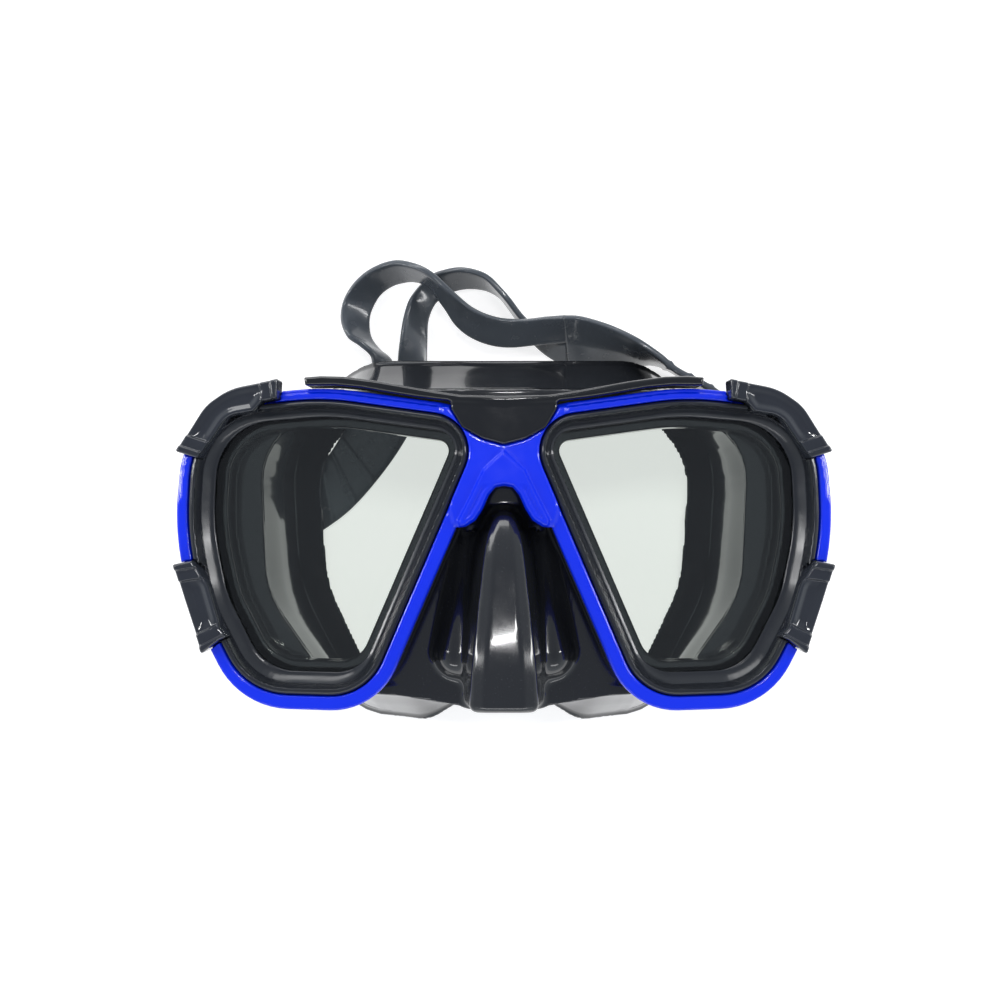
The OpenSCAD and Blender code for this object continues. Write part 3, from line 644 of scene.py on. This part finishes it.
def on_buckle(side, q):
    """A point of the right-hand buckle, carried to where that side's buckle stands."""
    a, up = TILT[side], q[2] - PIVOT_Z
    return (SIDES[side] * q[0], q[1] * math.cos(a) - up * math.sin(a),
            PIVOT_Z + q[1] * math.sin(a) + up * math.cos(a))


def wrap_run(side):
    """Stations from the strap's exit, over the roller and down to its tip."""
    x, z = ROLLER_AT
    path = [(x - WRAP_R, 8), (x - WRAP_R, 12.5)]
    turn = [math.pi * k / 10 for k in range(11)]
    path += [(x - WRAP_R * math.cos(a), z + WRAP_R * math.sin(a)) for a in turn]
    path += [(x + WRAP_R, 12.5), (x + WRAP_R, 9), (x + WRAP_R, 5)]
    return [tuple(on_buckle(side, (px, y, pz)) for y in (-STRAP_W / 2, STRAP_W / 2)) for px, pz in path]


def stations(run, spacing=0.6):
    """Both edges along a smooth curve through the run, as arrays (n, 2, 3), with the length so far."""
    p = np.array(run, float)
    p = np.concatenate([2 * p[:1] - p[1:2], p, 2 * p[-1:] - p[-2:-1]])
    out = []
    for i in range(1, len(p) - 2):
        a, b, c, d = p[i - 1:i + 3]
        n = max(2, int(np.linalg.norm((c - b).mean(0)) / spacing))
        t = (np.arange(n) / n)[:, None, None]
        out.append(0.5 * (2 * b + (c - a) * t + (2 * a - 5 * b + 4 * c - d) * t**2
                          + (3 * b - a - 3 * c + d) * t**3))
    edges = np.concatenate(out + [p[-2][None]])
    middle = edges.mean(1)
    length = np.concatenate([[0], np.cumsum(np.linalg.norm(np.diff(middle, axis=0), axis=1))])
    return edges, length


def ribbon(run, ribs=None, tip=None):
    """A band of rounded section along a run: ribs is its stretch with cross ribs, tip its rounded end."""
    edges, length = stations(run)
    middle = edges.mean(1)
    along = np.gradient(middle, axis=0)
    along /= np.linalg.norm(along, axis=1)[:, None]
    across = edges[:, 1] - edges[:, 0]
    half = np.linalg.norm(across, axis=1) / 2
    across /= 2 * half[:, None]
    face = np.cross(along, across)
    face /= np.linalg.norm(face, axis=1)[:, None]
    if tip is not None:
        left = np.abs(length - (length[-1] if tip == "end" else 0))
        half = half - 3.5 + np.sqrt(3.5**2 - np.clip(3.5 - left, 0, 3.4)**2)
    flat, bend, r = 6, 3, 0.55
    section = []
    for sx, sy, start in ((1, -1, -90), (1, 1, 0), (-1, 1, 90), (-1, -1, 180)):
        for k in range(bend + 1):
            a = math.radians(start + 90 * k / bend)
            section.append((sx, r * (math.cos(a) - sx), sy * (STRAP_T / 2 - r) + r * math.sin(a)))
        if start in (0, 180):
            section += [(sx * (1 - 2 * k / flat), 0, sy * STRAP_T / 2) for k in range(1, flat)]
    rings = []
    for sx, inset, rise in section:
        lift = np.zeros_like(length)
        if ribs and abs(sx) <= 1 and abs(rise) > STRAP_T / 2 - 0.1:
            inside = ease((length - ribs[0]) / 2) * ease((ribs[1] - length) / 2)
            crest = np.exp(-((length % RIB_PITCH - RIB_PITCH / 2) / RIB_HALF)**2)
            lift = math.copysign(RIB_HEIGHT, rise) * crest * inside
        rings.append(middle + across * (sx * half + inset)[:, None] + face * (rise + lift)[:, None])
    n, m = len(section), len(length)
    points = np.stack(rings, 1).reshape(-1, 3)
    i, j = np.meshgrid(np.arange(m - 1), np.arange(n), indexing="ij")
    k = (j + 1) % n
    quads = np.stack([i * n + j, i * n + k, (i + 1) * n + k, (i + 1) * n + j], -1).reshape(-1, 4)
    return points, [list(q) for q in quads] + [list(range(n))[::-1], [(m - 1) * n + q for q in range(n)]]


def add_strap(name, ribbons):
    points, faces = [], []
    for p, f in ribbons:
        faces += [[q + len(points) for q in face] for face in f]
        points += p.tolist()
    piece = mesh_object(name, points, faces, strap_silicone)
    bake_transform(piece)
    return piece


left_half = add_strap("strap_left_half",
                      [ribbon(wrap_run("left")[::-1] + LEFT_RUN, ribs=(34, 68), tip="start"),
                       ribbon(FRONT_BAND), ribbon(REAR_BAND)])
add_strap("strap_right_half", [ribbon(RIGHT_RUN + wrap_run("right"), ribs=(26, 66), tip="end")])
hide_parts("strap")


# ---- buckles --------------------------------------------------------------------------------

def helix(side, turns=5.5, radius=1.45, wire=0.32):
    """The lever's torsion spring: a coil along the lever's pin."""
    path = []
    for k in range(int(turns * 16) + 1):
        a = 2 * math.pi * k / 16
        along = -2.2 + 4.4 * k / (turns * 16)
        path.append((LEVER_AT[0] + radius * math.cos(a), along, LEVER_AT[1] + radius * math.sin(a)))
    curve = bpy.data.curves.new(f"coil_{side}", "CURVE")
    curve.dimensions = "3D"
    curve.bevel_depth = wire * MM
    curve.bevel_resolution = 2
    line = curve.splines.new("NURBS")
    line.points.add(len(path) - 1)
    for point, q in zip(line.points, path):
        point.co = (*(v * MM for v in on_buckle(side, q)), 1)
    line.order_u = 3
    line.use_endpoint_u = True
    curve.materials.append(steel)
    piece = bpy.data.objects.new(f"lever_coil_{side}", curve)
    bpy.context.scene.collection.objects.link(piece)
    return piece


def finish_node(name, material, bevel):
    """A CAD node keeps its shape: it gets its material and, unless bevel is 0, eased edges."""
    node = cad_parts[name]
    node.data.materials.clear()
    node.data.materials.append(material)
    weld = node.modifiers.new("weld", "WELD")
    weld.merge_threshold = 0.002 * MM
    if bevel:
        soften = node.modifiers.new("bevel", "BEVEL")
        soften.width = bevel * MM
        soften.segments = 3
        soften.limit_method = "ANGLE"
        soften.angle_limit = math.radians(32)
        soften.harden_normals = True
    node.data.polygons.foreach_set("use_smooth", [bevel > 0] * len(node.data.polygons))


for side in SIDES:
    for part, material, bevel in (
        ("buckle_lug", buckle_black, 0.35), ("buckle_body", buckle_black, 0.3),
        ("strap_roller", buckle_black, 0.25), ("release_lever", buckle_black, 0.25),
        ("strap_keeper", buckle_black, 0.3), ("swivel_pin", steel, 0.2),
        ("roller_axle", steel, 0.15), ("lever_pin", steel, 0.12), ("lens", glass, 0),
    ):
        finish_node(f"{part}_{side}", material, bevel)
    place(helix(side), f"buckle_{side}", "pin_steel", f"lever_spring_{side}")


# ---- floor, light and camera ---------------------------------------------------------------

def add_floor():
    mesh = bpy.data.meshes.new("floor")
    mesh.from_pydata([(-2, -2, 0), (2, -2, 0), (2, 2, 0), (-2, 2, 0)], [], [(0, 1, 2, 3)])
    floor = bpy.data.objects.new("floor", mesh)
    bpy.context.scene.collection.objects.link(floor)
    m = bpy.data.materials.new("floor_white")
    m.use_nodes = True
    shader = m.node_tree.nodes["Principled BSDF"]
    shader.inputs["Base Color"].default_value = (0.62, 0.61, 0.6, 1)
    shader.inputs["Emission Color"].default_value = (1, 1, 1, 1)
    shader.inputs["Emission Strength"].default_value = 0.72
    shader.inputs["Roughness"].default_value = 0.7
    shader.inputs["Specular IOR Level"].default_value = 0.2
    mesh.materials.append(m)


def add_light(name, at, target, size, watts, turn=0.0):
    data = bpy.data.lights.new(name, "AREA")
    data.shape = "RECTANGLE"
    data.size, data.size_y = size
    data.energy = watts
    light = bpy.data.objects.new(name, data)
    light.location = at
    aim = (Vector(target) - Vector(at)).to_track_quat("-Z", "Y")
    light.rotation_euler = (aim @ Quaternion((0, 0, 1), turn)).to_euler()
    bpy.context.scene.collection.objects.link(light)


def studio_sky():
    """A bright horizon all round under a dim ceiling."""
    sky = bpy.data.worlds.new("studio")
    sky.use_nodes = True
    tree = sky.node_tree
    coords = tree.nodes.new("ShaderNodeTexCoord")
    parts = tree.nodes.new("ShaderNodeSeparateXYZ")
    tree.links.new(coords.outputs["Generated"], parts.inputs["Vector"])
    dim = map_range(tree, parts.outputs["Z"], 0.05, 0.85, 1, 0)
    colour = mixed(tree, dim, (0.34, 0.37, 0.43), (0.86, 0.93, 1))
    tree.links.new(colour, tree.nodes["Background"].inputs["Color"])
    tree.nodes["Background"].inputs["Strength"].default_value = 0.9
    return sky


add_floor()
add_light("key", (0.03, 0.24, 0.72), (0, 0, 0.05), (0.17, 0.022), 1.0, turn=math.radians(62))
add_light("window", (-0.35, 0.95, 0.45), (0, 0, 0.04), (0.9, 0.3), 3.4)
add_light("front", (0, -0.8, 0.5), (0, 0, 0.04), (1.2, 0.08), 1.5)
for x in (-0.85, 0.85):
    add_light("side", (x, 0.15, 0.45), (0, 0, 0.04), (0.07, 0.6), 2.6)
world = studio_sky()
bpy.context.scene.world = world
bpy.context.scene.view_settings.view_transform = "Standard"

camera_data = bpy.data.cameras.new("camera")
camera_data.lens = 36
camera_data.sensor_width = 36
camera_data.shift_x = -0.004
camera_data.shift_y = 0.015
camera_data.clip_start = 0.01
camera = bpy.data.objects.new("camera", camera_data)
camera.location = (0, 0, 0.310)
camera.rotation_euler = (0, 0, 0)
bpy.context.scene.collection.objects.link(camera)
bpy.context.scene.camera = camera
